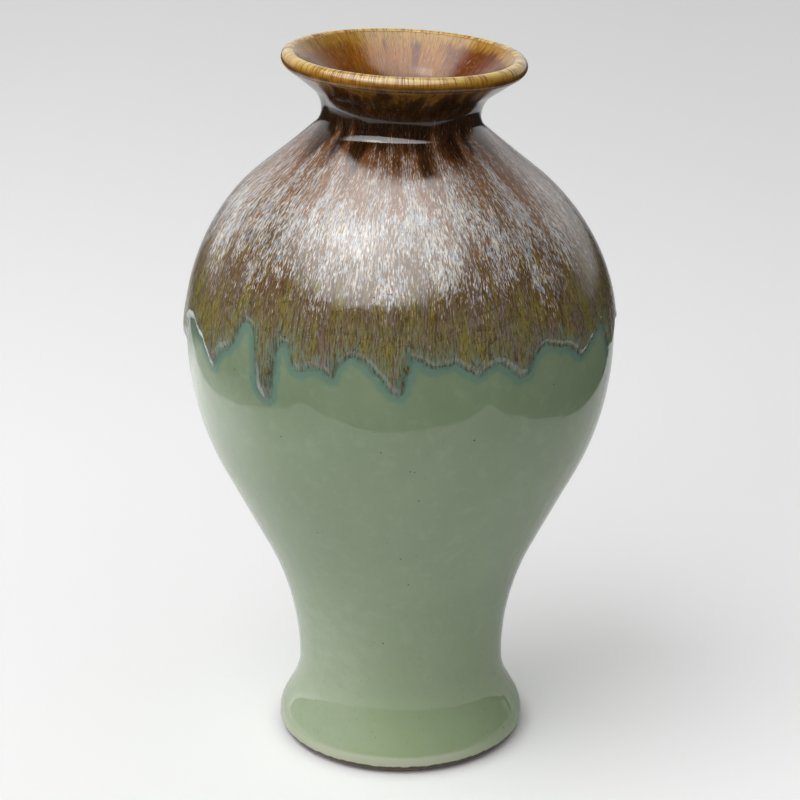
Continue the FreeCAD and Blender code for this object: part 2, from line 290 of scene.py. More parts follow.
def smooth_loop(shares, values, at):
    """Curve through points round a loop that is level at each drip's tip and each notch's top."""
    shares = np.concatenate([shares[-2:] - 1, shares, shares[:2] + 1])
    values = np.concatenate([values[-2:], values, values[:2]])
    steps = np.diff(shares)
    slopes = np.diff(values) / steps
    lead, trail = slopes[:-1], slopes[1:]
    weights = 2 * steps[1:] + steps[:-1], steps[1:] + 2 * steps[:-1]
    turning = lead * trail > 0
    safe = np.where(turning, lead * trail, 1)
    inner = np.where(turning, (weights[0] + weights[1]) * safe
                     / (weights[0] * trail + weights[1] * lead + (~turning)), 0)
    tangents = np.concatenate([[0], inner, [0]])
    place = np.clip(np.searchsorted(shares, at, side="right") - 1, 0, len(steps) - 1)
    gap = steps[place]
    t = (at - shares[place]) / gap
    low, high = values[place], values[place + 1]
    return (low * (1 + 2 * t) * (1 - t) ** 2 + high * t * t * (3 - 2 * t)
            + gap * (tangents[place] * t * (1 - t) ** 2 - tangents[place + 1] * t * t * (1 - t)))


def drip_height(turn):
    shares, drops = (np.array(DRIPS) / (1000, 100)).T
    fine = (0.01 * np.sin(math.tau * 41 * turn + 1.0) + 0.007 * np.sin(math.tau * 97 * turn)
            + 0.005 * np.sin(math.tau * 173 * turn + 2.0))
    return RUN_NOTCH_HEIGHT - RUN_LONGEST_DRIP * (smooth_loop(shares, drops, turn % 1) + fine)


# Meshes

def linked(name, data):
    thing = bpy.data.objects.new(name, data)
    bpy.context.scene.collection.objects.link(thing)
    return thing


def fetched(items, field, kind=np.float32, width=1):
    """One field of every item, as rows where it is wider than one number."""
    values = np.empty(len(items) * width, kind)
    items.foreach_get(field, values)
    return values.reshape(-1, width) if width > 1 else values


def close_and_face_outwards(piece):
    """Joins doubled points at the middle and turns every face outwards."""
    work = bmesh.new()
    work.from_mesh(piece.data)
    bmesh.ops.remove_doubles(work, verts=work.verts, dist=SAME_POINT)
    bmesh.ops.recalc_face_normals(work, faces=work.faces)
    for face in work.faces:
        face.smooth = True
    work.to_mesh(piece.data)
    work.free()


def round_the_pot(turns, reach, height):
    """Points at turns round the pot, out by a reach and up by a height."""
    around = math.tau * turns
    return np.stack(np.broadcast_arrays(reach * np.sin(around), -reach * np.cos(around), height),
                    axis=-1)


def strip_map(piece):
    """Lays the coat out as two half turns, the front one above, with its hidden side below each."""
    mesh = piece.data
    flow = fetched(mesh.attributes["flow"].data, "vector", width=3)
    under = fetched(mesh.attributes["under"].data, "value")
    corner = fetched(mesh.loops, "vertex_index", np.int32)
    sizes = fetched(mesh.polygons, "loop_total", np.int32)
    face = np.repeat(np.arange(len(sizes)), sizes)
    side, depth = (np.bincount(face, flow[corner, axis]) for axis in (0, 1))
    middle = np.arctan2(side, -depth) / math.tau
    hidden = np.bincount(face, under[corner]) > 0
    turn = np.arctan2(flow[corner, 0], -flow[corner, 1]) / math.tau
    turn = middle[face] + (turn - middle[face] + 0.5) % 1 - 0.5
    back = np.abs(middle[face]) > 0.25
    start = np.where(back, 0.25, -0.25)
    across = (turn - start + np.where(turn - start < -0.1, 1, 0)) / 0.5
    up = (flow[corner, 2] - flow[:, 2].min()) / np.ptp(flow[:, 2])
    level = np.where(hidden[face], 0.005 + 0.03 * up, 0.05 + 0.44 * up)
    level += np.where(back, 0, 0.5)
    layout = mesh.uv_layers.new(name="OFBake")
    layout.data.foreach_set("uv", np.c_[0.01 + 0.98 * across, level].astype(np.float32).ravel())


def finished(piece, material, node):
    """A piece in its glaze or clay, standing for its node of the frame."""
    piece.data.materials.clear()
    piece.data.materials.append(material)
    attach(piece, "root")
    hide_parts(node)
    return piece


FAR_FROM_EDGE = 99.0
# The flow vector that glaze patterns follow is laid on a cylinder of this radius
FLOW_RADIUS = 100


def coat(name, turns, outer_runs, outer_covers, inner_runs, inner_covers=0, edges=FAR_FROM_EDGE):
    """Closed coat with a fine outer side and a coarser hidden side along one stretch of skin.

    Each column is a loop of places along the skin, each with a cover over the clay.
    """
    runs = np.vstack([outer_runs, inner_runs[::-1]])
    covers = np.vstack([np.broadcast_to(outer_covers, outer_runs.shape),
                        np.broadcast_to(inner_covers, inner_runs.shape)[::-1]])
    marks = np.full(runs.shape, FAR_FROM_EDGE)
    marks[:len(outer_runs)] = edges
    under = np.zeros(runs.shape)
    under[len(outer_runs):] = 1
    radius, height, out, up = skin_at(runs)
    lift = covers + hand_waver(turns, height, runs)
    points = leaned(round_the_pot(turns, radius + out * lift, height + up * lift)).reshape(-1, 3)
    index = np.arange(runs.size).reshape(runs.shape)
    right = np.roll(index, -1, axis=1)
    faces = np.stack([index, right, np.roll(right, -1, axis=0), np.roll(index, -1, axis=0)],
                     axis=-1).reshape(-1, 4)
    mesh = bpy.data.meshes.new(name)
    mesh.from_pydata((points * MM).tolist(), [], faces.tolist())
    mesh.validate()
    flow = round_the_pot(turns, FLOW_RADIUS, runs)
    for key, kind, field, values in (("flow", "FLOAT_VECTOR", "vector", flow),
                                     ("edge", "FLOAT", "value", marks),
                                     ("under", "FLOAT", "value", under)):
        attribute = mesh.attributes.new(key, kind, "POINT")
        attribute.data.foreach_set(field, values.astype(np.float32).ravel())
    piece = linked(name, mesh)
    close_and_face_outwards(piece)
    strip_map(piece)
    return piece


def level_rows(runs, columns):
    return np.repeat(runs[:, None], columns, axis=1)


def rows_from(edge, near, joining, common):
    """Rows near a wavy edge, a few that join them to common rows, and the common rows."""
    first = edge[None, :] + np.array(near)[:, None]
    shares = np.linspace(0, 1, joining + 2)[1:-1, None]
    between = first[-1:] + (common[0] - first[-1:]) * shares
    return np.vstack([first, between, level_rows(common, edge.size)])


# Where each coat lies

NECK_COVER_START_HEIGHT = 285.0
NECK_COVER_FULL_HEIGHT = 318.0
# Profile of the rounded edge of the run: shares of its width, and of its thickness there
EDGE_PLACES = (0, 0.25, 0.5, 0.75, 0.9, 1, 1.12, 1.35, 2, 3.2)
EDGE_HEIGHTS = (0, 0.09, 0.29, 0.6, 0.83, 0.98, 1.08, 1.11, 1.05, 1)
# The hidden side of the run clears the celadon by this
GAP = 0.05
CELADON_COLUMNS = 560
RUN_COLUMNS = 860
BAND_COLUMNS = 720
BAND_ROWS = 34
LINING_COLUMNS = 400
DRIP_LINE_POINTS = 5600
DRIP_LINE_SAMPLES = 20001


def drip_columns(count):
    """Turns spaced evenly along the drip line, so that steep sides get more columns."""
    turns = np.linspace(0, 1, DRIP_LINE_SAMPLES)
    step = np.hypot(np.diff(turns) * math.tau * BELLY_RADIUS, np.diff(drip_height(turns)))
    length = np.append(0, np.cumsum(step))
    return np.interp(np.linspace(0, length[-1], count + 1)[:-1], length, turns)


def edge_distance(turns, runs):
    """Distance on the skin from each place to the drip line."""
    line_turns = drip_columns(DRIP_LINE_POINTS)
    line_runs = run_at_height(drip_height(line_turns))
    line_turns = np.concatenate([line_turns - 1, line_turns, line_turns + 1])
    line_runs = np.tile(line_runs, 3)
    reach = 0.04
    distance = np.empty(runs.shape)
    for column, turn in enumerate(turns):
        low, high = np.searchsorted(line_turns, (turn - reach, turn + reach))
        across = (line_turns[low:high] - turn) * math.tau * BELLY_RADIUS
        up = line_runs[None, low:high] - runs[:, column, None]
        distance[:, column] = np.sqrt((up * up + across * across).min(axis=1))
    return distance


def make_celadon():
    turns = np.arange(CELADON_COLUMNS) / CELADON_COLUMNS
    around = math.tau * turns
    start = (REST_TILT * CELADON_FOOT_LINE_SHARE - REST_TILT) * UNDER_BEND \
        + 0.3 * np.sin(3 * around + 1) + 0.18 * np.sin(8 * around) + 0.1 * np.sin(19 * around + 2)
    end = run_at_height(CELADON_TOP_HEIGHT)
    drips = run_at_height(RUN_NOTCH_HEIGHT - RUN_LONGEST_DRIP - 12)
    common = np.concatenate([rows_along(start.max() + 4.6, drips, 0.02, 5.0),
                             rows_along(drips, end, 0.02, 1.5)[1:]])
    near = (0, 0.12, 0.3, 0.55, 0.9, 1.3, 1.8, 2.4, 3.2)
    runs = rows_from(start, near, 1, common)
    steps = runs - start[None, :]
    bead = np.clip(steps / 1.6, 0, 1)
    covers = CELADON_THICKNESS * np.sqrt(1 - (1 - bead) ** 2) \
        + 0.12 * np.exp(-((steps - 2.3) / 1.2) ** 2) * (bead > 0) - 0.03 * (steps == 0)
    inner = rows_from(start, (0, 2.0), 1, rows_along(start.max() + 4.6, end, 0.06, 10.0))
    return coat("celadon_coat", turns, runs, covers, inner, edges=edge_distance(turns, runs))


def run_cover(heights):
    full = CELADON_THICKNESS + RUN_THICKNESS_AT_EDGE
    neck = ease(heights, NECK_COVER_START_HEIGHT, NECK_COVER_FULL_HEIGHT)
    lip = ease(heights, NECK_HEIGHT + 8, LIP_HEIGHT - 2)
    return full + (RUN_THICKNESS_AT_NECK - full) * neck \
        + (LIP_GLAZE_THICKNESS - RUN_THICKNESS_AT_NECK) * lip


def make_run():
    turns = drip_columns(RUN_COLUMNS)
    edge = run_at_height(drip_height(turns))
    near = (0, 0.3, 0.6, 0.95, 1.35, 1.8, 2.3, 2.85, 3.4, 4.0, 4.7, 5.6, 6.8, 8.4, 10.4, 12.8, 15.6)
    clear = edge.max() + near[-1] + 2
    runs = rows_from(edge, near, 6, rows_along(clear, LIP_BAND_START, 0.015, 3.5))
    distance = edge_distance(turns, runs)
    distance[0] = 0
    heights = skin_at(runs)[1]
    share = np.interp(distance / RUN_EDGE_WIDTH, EDGE_PLACES, EDGE_HEIGHTS)
    tear = np.exp(-((distance - 6) / 5) ** 2) * ease(-edge, -run_at_height(222),
                                                     -run_at_height(210))[None, :]
    covers = CELADON_THICKNESS + (run_cover(heights) - CELADON_THICKNESS) * share + 0.5 * tear
    covers[0] -= 2 * GAP
    inner = rows_from(edge, (0, 3.0), 4, rows_along(clear, LIP_BAND_START, 0.05, 8.0))
    past_celadon = ease(skin_at(inner)[1], CELADON_TOP_HEIGHT - 1, CELADON_TOP_HEIGHT + 3)
    under = (CELADON_THICKNESS + GAP) * (1 - past_celadon) - 4 * GAP * (inner <= edge + 0.01)
    return coat("streaked_brown_run", turns, runs, covers, inner, under, distance)


def make_lip_band():
    turns = np.arange(BAND_COLUMNS) / BAND_COLUMNS
    runs = level_rows(np.linspace(LIP_BAND_START, LIP_BAND_END, BAND_ROWS), BAND_COLUMNS)
    return coat("honey_lip_band", turns, runs, LIP_GLAZE_THICKNESS, runs[::3])


def make_lining():
    turns = np.arange(LINING_COLUMNS) / LINING_COLUMNS
    runs = rows_along(LIP_BAND_END, SKIN_RUN[OUTER_COUNT + 1], 0.01, 1.6)
    runs = np.append(runs[:-1], rows_along(runs[-1], SKIN_RUN[-1], 0.03, 5.0))
    inner = rows_along(LIP_BAND_END, SKIN_RUN[-1], 0.08, 8.0)
    return coat("mouth_and_inner_lining", turns, level_rows(runs, LINING_COLUMNS),
                LINING_THICKNESS, level_rows(inner, LINING_COLUMNS))


# Node trees

class Nodes:
    """Short calls for the nodes of one tree."""

    def __init__(self, tree):
        self.tree = tree

    def give(self, socket, value):
        """Links a socket, or fills in its value."""
        if isinstance(value, bpy.types.NodeSocket):
            self.tree.links.new(value, socket)
        else:
            socket.default_value = value

    def add(self, kind, inputs=(), **settings):
        """A node with its settings, and its inputs linked or filled in by name or number."""
        node = self.tree.nodes.new(kind)
        for key, value in settings.items():
            setattr(node, key, value)
        for key, value in dict(inputs).items():
            self.give(node.inputs[key], value)
        return node

    def maths(self, kind, first, second=0.0):
        return self.add("ShaderNodeMath", {0: first, 1: second}, operation=kind).outputs[0]

    def plus(self, first, second):
        return self.maths("ADD", first, second)

    def less(self, first, second):
        return self.maths("SUBTRACT", first, second)

    def over(self, first, second):
        return self.maths("DIVIDE", first, second)

    def times(self, first, *others):
        for other in others:
            first = self.maths("MULTIPLY", first, other)
        return first

    def vector(self, kind, first, second):
        return self.add("ShaderNodeVectorMath", {0: first, 1: second}, operation=kind).outputs[0]

    def split(self, vector):
        return self.add("ShaderNodeSeparateXYZ", {0: vector}).outputs

    def length(self, x, y):
        return self.maths("SQRT", self.plus(self.times(x, x), self.times(y, y)))

    def ranged(self, value, low, high, start=0.0, end=1.0, kind="SMOOTHSTEP"):
        """Number that goes from start to end as the value goes from low to high."""
        return self.add("ShaderNodeMapRange", {"Value": value, "From Min": low, "From Max": high,
                                               "To Min": start, "To Max": end},
                        interpolation_type=kind).outputs["Result"]


# Geometry Nodes: a half section turned on the wheel, and iron specks scattered over a coat

def geometry_tree(name, sizes):
    """New tree with a geometry input, named inputs for its sizes and one output."""
    tree = bpy.data.node_groups.new(name, "GeometryNodeTree")
    keys = {}
    for label, kind in (("Geometry", "Geometry"), *sizes):
        keys[label] = tree.interface.new_socket(label, in_out="INPUT",
                                                socket_type="NodeSocket" + kind).identifier
    tree.interface.new_socket("Geometry", in_out="OUTPUT", socket_type="NodeSocketGeometry")
    return Nodes(tree), keys, tree.nodes.new("NodeGroupInput").outputs


def close_tree(nodes, geometry, material):
    """Realizes the instances, sets the material and ends the tree."""
    real = nodes.add("GeometryNodeRealizeInstances", {"Geometry": geometry})
    done = nodes.add("GeometryNodeSetMaterial", {"Geometry": real.outputs[0],
                                                 "Material": material})
    nodes.add("NodeGroupOutput", {"Geometry": done.outputs[0]})


def grown(name, source, tree, keys, values):
    """Plain mesh object of a tree's result on a source object."""
    modifier = source.modifiers.new(tree.name, "NODES")
    modifier.node_group = tree
    for label, value in values.items():
        modifier[keys[label]] = value
    view = bpy.context.evaluated_depsgraph_get()
    mesh = bpy.data.meshes.new_from_object(source.evaluated_get(view))
    source.modifiers.remove(modifier)
    return linked(name, mesh)


def turning_tree():
    nodes, keys, given = geometry_tree("turned_on_the_wheel",
                                       (("Columns", "Int"), ("Clay", "Material")))
    section, columns = given["Geometry"], given["Columns"]
    rows = nodes.add("GeometryNodeAttributeDomainSize",
                     {"Geometry": section}).outputs["Point Count"]
    steps = nodes.less(rows, 1)
    grid = nodes.add("GeometryNodeMeshGrid", {"Size X": columns, "Size Y": steps,
                                              "Vertices X": nodes.plus(columns, 1),
                                              "Vertices Y": rows})
    here = nodes.add("GeometryNodeInputPosition").outputs[0]
    place = nodes.split(here)
    column = nodes.maths("ROUND", nodes.plus(place["X"], nodes.over(columns, 2)))
    row = nodes.maths("ROUND", nodes.plus(place["Y"], nodes.over(steps, 2)))
    spot = nodes.add("GeometryNodeSampleIndex", {"Geometry": section, "Value": here, "Index": row},
                     data_type="FLOAT_VECTOR", domain="POINT")
    angle = nodes.times(column, nodes.over(math.tau, columns))
    turn = nodes.add("ShaderNodeVectorRotate", {"Vector": spot.outputs["Value"], "Angle": angle},
                     rotation_type="Z_AXIS")
    moved = nodes.add("GeometryNodeSetPosition", {"Geometry": grid.outputs["Mesh"],
                                                  "Position": turn.outputs[0]})
    joined = nodes.add("GeometryNodeMergeByDistance", {"Geometry": moved.outputs[0],
                                                       "Distance": SAME_POINT})
    close_tree(nodes, joined.outputs[0], given["Clay"])
    return nodes.tree, keys


def turned_piece(name, section, columns, material):
    """Closed half section in millimetres, turned to a clay ring."""
    section = np.vstack([section, section[:1]])
    points = np.c_[section[:, 0], np.zeros(len(section)), section[:, 1]]
    mesh = bpy.data.meshes.new(name + "_section")
    mesh.from_pydata((points * MM).tolist(), [(i, i + 1) for i in range(len(points) - 1)], [])
    source = linked(name + "_section", mesh)
    piece = grown(name, source, *TURNING, {"Columns": columns, "Clay": material})
    bpy.data.objects.remove(source)
    vertices = piece.data.vertices
    points = leaned(fetched(vertices, "co", width=3).astype(float) / MM) * MM
    vertices.foreach_set("co", points.astype(np.float32).ravel())
    close_and_face_outwards(piece)
    return piece


TURNING = turning_tree()
SEAM_HEIGHTS = ((47.4, 53.9), (201.8, 207.3), (320.0, 315.4))
CLAY_SPACING = 3.0
FOOT_SPACING = 0.8
NECK_SPACING = 1.0


def skin_part(start, end, spacing=CLAY_SPACING):
    """Points of the clay skin between two distances along it."""
    runs = np.linspace(start, end, max(2, int(abs(end - start) / spacing) + 2))
    radius, height = skin_at(runs)[:2]
    return np.c_[radius, height]


def inside_run(height):
    """Distance along the skin at a height inside the pot."""
    back = SKIN[OUTER_COUNT:, 1][::-1]
    return np.interp(height, back, SKIN_RUN[OUTER_COUNT:][::-1])


def rounded_foot():
    """Underside of the foot: turned recess with tool rings, and a ring with rounded corners."""
    inner = REST_RADIUS - FOOT_RING_WIDTH
    across = np.linspace(0, inner - FOOT_RECESS_DEPTH - 2, 60)
    rings = TOOL_RING_DEPTH * np.sin(across * math.tau / TOOL_RING_SPACING) * ease(across, 3, 8)
    recess = np.c_[across, FOOT_RECESS_DEPTH + rings]
    turn = np.linspace(0, math.pi / 2, 6)
    corner = np.c_[inner + FOOT_RING_ROUND * (1 - np.cos(turn)),
                   FOOT_RING_ROUND * (1 - np.sin(turn))]
    slope = np.array([[inner - FOOT_RECESS_DEPTH + 0.5, FOOT_RECESS_DEPTH - 0.8]])
    return np.vstack([recess, slope, corner, [[REST_RADIUS - 0.6, 0]]])


def clay_sections():
    """Closed half sections of the four luted parts of the pot."""
    outer = [0] + [run_at_height(pair[0]) for pair in SEAM_HEIGHTS]
    inner = [SKIN_RUN[-1]] + [inside_run(pair[1]) for pair in SEAM_HEIGHTS]
    foot = np.vstack([rounded_foot(), skin_part(outer[0], outer[1], FOOT_SPACING),
                      skin_part(inner[1], inner[0])])
    walls = [np.vstack([skin_part(outer[k], outer[k + 1]),
                        skin_part(inner[k + 1], inner[k])]) for k in (1, 2)]
    return [foot] + walls + [skin_part(outer[3], inner[3], NECK_SPACING)]


def speck_tree():
    nodes, keys, given = geometry_tree("iron_specks", (
        ("Per square metre", "Float"), ("Seed", "Int"), ("Radius", "Float"), ("Iron", "Material")))
    under = nodes.add("GeometryNodeInputNamedAttribute", {"Name": "under"}, data_type="FLOAT")
    shown = nodes.add("FunctionNodeCompare", {0: under.outputs["Attribute"], 1: 0.01},
                      data_type="FLOAT", operation="LESS_THAN")
    spots = nodes.add("GeometryNodeDistributePointsOnFaces",
                      {"Mesh": given["Geometry"], "Selection": shown.outputs[0],
                       "Density": given["Per square metre"], "Seed": given["Seed"]})
    bead = nodes.add("GeometryNodeMeshUVSphere", {"Segments": 8, "Rings": 4})
    flat = nodes.add("GeometryNodeTransform", {"Geometry": bead.outputs["Mesh"],
                                               "Scale": (1, 1, 0.16)})
    share = nodes.add("FunctionNodeRandomValue", {"Min": 0.35, "Max": 1, "Seed": given["Seed"]},
                      data_type="FLOAT")
    placed = nodes.add("GeometryNodeInstanceOnPoints",
                       {"Points": spots.outputs["Points"], "Instance": flat.outputs[0],
                        "Rotation": spots.outputs["Rotation"],
                        "Scale": nodes.times(share.outputs["Value"], given["Radius"])})
    real = nodes.add("GeometryNodeRealizeInstances", {"Geometry": placed.outputs[0]})
    smooth = nodes.add("GeometryNodeSetShadeSmooth", {"Geometry": real.outputs[0]})
    close_tree(nodes, smooth.outputs[0], given["Iron"])
    return nodes.tree, keys


# Materials

def rgba(colour):
    """A linked or RGBA colour as it is, and one in screen values of 0 to 255 as RGBA."""
    if isinstance(colour, bpy.types.NodeSocket) or len(colour) == 4:
        return colour
    shares = [level / 255 for level in colour]
    return (*(share / 12.92 if share <= 0.04045 else ((share + 0.055) / 1.055) ** 2.4
              for share in shares), 1.0)


class Finish(Nodes):
    """A material under construction. Colours and relief go over those that are there, and
    all sizes are in millimetres. One that flows has patterns along the skin of the pot."""

    def __init__(self, name, flows=False):
        self.material = bpy.data.materials.new(name)
        self.material.use_nodes = True
        super().__init__(self.material.node_tree)
        self.tree.nodes.clear()
        self.shader = self.add("ShaderNodeBsdfPrincipled")
        self.add("ShaderNodeOutputMaterial", {"Surface": self.shader.outputs[0]})
        self.place = self.vector("DIVIDE", self.add("ShaderNodeTexCoord").outputs["Object"],
                                 (MM,) * 3)
        self.x, self.y, self.height = self.split(self.place)
        self.normal = None
        if flows:
            flow = self.attribute("flow", "Vector")
            sway = self.noise(flow, (22, 22, 60), output="Color")
            sway = self.vector("MULTIPLY", self.vector("SUBTRACT", sway, (0.5,) * 3),
                               (9, 9, 0))
            self.flow = self.vector("ADD", flow, sway)

    def attribute(self, name, output):
        return self.add("ShaderNodeAttribute", attribute_name=name).outputs[output]

    def noise(self, vector, sizes, detail=2.0, roughness=0.5, output="Fac"):
        return self.add("ShaderNodeTexNoise",
                        {"Vector": self.vector("DIVIDE", vector, sizes), "Scale": 1.0,
                         "Detail": detail, "Roughness": roughness}).outputs[output]

    def cloud(self, size, detail=2.0, roughness=0.5):
        """Even noise of a size in millimetres."""
        return self.noise(self.place, (size,) * 3, detail, roughness)

    def streaks(self, width, length, detail=2.0, roughness=0.5):
        """Noise drawn out along the flow of the glaze."""
        return self.noise(self.flow, (width, width, length), detail, roughness)

    def dashes(self, width, length, amount, seed):
        """Short upright flecks of glaze: their cover, and two random numbers for each."""
        moved = self.vector("ADD", self.vector("DIVIDE", self.flow, (width, width, length)),
                            (seed, 2.3 * seed, 3.1 * seed))
        cell = self.add("ShaderNodeTexVoronoi", {"Vector": moved, "Scale": 1.0}).outputs
        chance = self.add("ShaderNodeSeparateColor", {0: cell["Color"]}).outputs
        chosen = self.maths("LESS_THAN", chance[0], amount)
        shape = self.ranged(cell["Distance"], 0.70, 0.42)
        return self.times(chosen, shape), chance[1], chance[2]

    def colours(self, value, stops):
        """Colour that follows given stops of (value, colour), over their whole range."""
        low, high = stops[0][0], stops[-1][0]
        ramp = self.add("ShaderNodeValToRGB",
                        {"Fac": self.ranged(value, low, high, kind="LINEAR")})
        marks = ramp.color_ramp.elements
        while len(marks) < len(stops):
            marks.new(0.5)
        for mark, (at, colour) in zip(marks, stops):
            mark.position = (at - low) / (high - low)
        for mark, (at, colour) in zip(marks, stops):
            mark.color = rgba(colour)
        return ramp.outputs["Color"]

    def curve(self, value, stops):
        """Number that follows given stops of (value, level)."""
        return self.colours(value, [(at, (level,) * 3 + (1.0,)) for at, level in stops])

    def mix(self, share, first, second):
        return self.add("ShaderNodeMix", {0: share, 6: rgba(first), 7: rgba(second)},
                        data_type="RGBA").outputs[2]

    def lay(self, colour, share):
        """Lays a colour over what is there, by a share of 0 to 1."""
        self.colour = self.mix(share, self.colour, colour)

    def wash(self, colour, value, low, high, most=1.0, within=None):
        """Lays a colour on, by nothing where the value is low and by the most where it is high."""
        share = self.ranged(value, low, high, 0.0, most)
        self.lay(colour, share if within is None else self.times(share, within))

    def relief(self, height, depth):
        """Relief of a depth in millimetres."""
        bump = self.add("ShaderNodeBump", {"Height": height, "Distance": depth * MM})
        if self.normal is not None:
            self.give(bump.inputs["Normal"], self.normal)
        self.normal = bump.outputs[0]

    def peel(self, size, depth):
        """Slight unevenness of a fired glaze."""
        self.relief(self.cloud(size), depth)

    def done(self, roughness, ior=1.5):
        for key, value in (("Base Color", self.colour), ("Roughness", roughness), ("IOR", ior),
                           ("Normal", self.normal)):
            if value is not None:
                self.give(self.shader.inputs[key], value)
        return self.material


def celadon():
    glaze = Finish("green_celadon_glaze")
    x, height = glaze.x, glaze.height
    cloud = glaze.cloud(50, 3, 0.55)
    fleck = glaze.cloud(2.2, 3, 0.6)
    blotch = glaze.cloud(7, 3, 0.6)
    ragged = glaze.cloud(4)
    glaze.colour = glaze.colours(height, (
        (4, (160, 176, 138)), (18, (154, 172, 134)), (45, (140, 156, 124)), (90, (134, 149, 121)),
        (185, (128, 143, 116)), (212, (118, 134, 106)), (252, (118, 134, 106))))
    glaze.wash((142, 157, 128), cloud, 0.35, 0.7, 0.35)
    # Pale blotchy wash on the left (-X) of the lower body: painted light from the left.
    left_painted_light = glaze.times(glaze.ranged(height, 115, 45), glaze.ranged(blotch, 0.25, 0.75, 0.35, 0.65))
    glaze.wash((170, 180, 158), x, 4, -40, 1, left_painted_light)
    glaze.wash((152, 168, 142), blotch, 0.5, 0.72, 0.18)
    glaze.wash((104, 124, 94), fleck, 0.58, 0.75, 0.22)
    edge = glaze.plus(glaze.attribute("edge", "Fac"),
                      glaze.ranged(ragged, 0.3, 0.7, -0.7, 0.7, "LINEAR"))
    fringe = glaze.mix(glaze.ranged(cloud, 0.4, 0.6), (98, 126, 112), (106, 132, 114))
    glaze.wash(fringe, edge, 4.6, 2, 0.85)
    glaze.wash((74, 92, 78), edge, 1.1, 0.2, 0.35)
    rim = glaze.plus(height, glaze.ranged(ragged, 0.3, 0.7, -0.3, 0.3, "LINEAR"))
    # Pale band low on the foot's bulge, strongest across the front middle: a painted reflection of
    # the white floor.
    front = glaze.times(glaze.ranged(x, -58, -36, 0.4, 0.9), glaze.ranged(x, 50, 26, 0.2, 1))
    glaze.wash((182, 188, 162), rim, 10.5, 8.5, 1, front)
    # Dark ragged line at the very foot of the glaze: bare clay colour, darkened further as painted
    # contact shadow.
    glaze.wash((62, 46, 34), rim, 5, 4.3, 0.95)
    glaze.peel(9, 0.1)
    glaze.peel(2.6, 0.012)
    return glaze.done(0.045)


def streaked_layers(glaze, coverage, blue_share):
    """Pale haze and flecks over a ground: coverage 0 leaves the ground and 1 nearly hides it."""
    fine = glaze.streaks(0.62, 3.4, 3, 0.7)
    middle = glaze.streaks(1.6, 8, 2, 0.55)
    broad = glaze.streaks(9, 26)
    blend = glaze.plus(glaze.times(fine, 0.54),
                       glaze.plus(glaze.times(middle, 0.26), glaze.times(broad, 0.2)))
    above = glaze.less(blend, glaze.ranged(coverage, 0, 1, 0.66, 0.42, "LINEAR"))
    hue = glaze.streaks(1.6, 7, 1)
    haze = glaze.mix(glaze.ranged(hue, 0.35, 0.65), (150, 118, 82), (124, 112, 98))
    glaze.wash(haze, above, -0.03, 0.03, 0.72)
    white = glaze.mix(glaze.ranged(hue, 0.42, 0.62, 0, blue_share),
                      (212, 206, 196), (168, 177, 186))
    glaze.wash(white, above, 0.005, 0.06, 0.84)
    share = glaze.times(coverage, glaze.ranged(broad, 0.3, 0.7, 0.25, 1))
    strength = glaze.ranged(coverage, 0.12, 0.72, 0.18, 0.88)
    for width, length, seed, part in ((0.56, 3, 3, 0.34), (0.38, 1.8, 7, 0.42)):
        fleck, blue, brown = glaze.dashes(width, length, glaze.times(share, part), seed)
        pale = glaze.mix(glaze.ranged(blue, 0.3, 0.9, 0, blue_share),
                         (228, 225, 217), (170, 185, 204))
        pale = glaze.mix(glaze.ranged(brown, 0.5, 1, 0, 0.6), pale, (160, 136, 120))
        glaze.lay(pale, glaze.times(fleck, strength))
    dark = glaze.dashes(0.5, 2.8, 0.3, 13)[0]
    glaze.lay((74, 48, 28), glaze.times(dark, 0.55))
    glaze.wash((66, 46, 28), glaze.streaks(0.42, 2, 2, 0.6), 0.4, 0.3, 0.55)
    return blend, middle


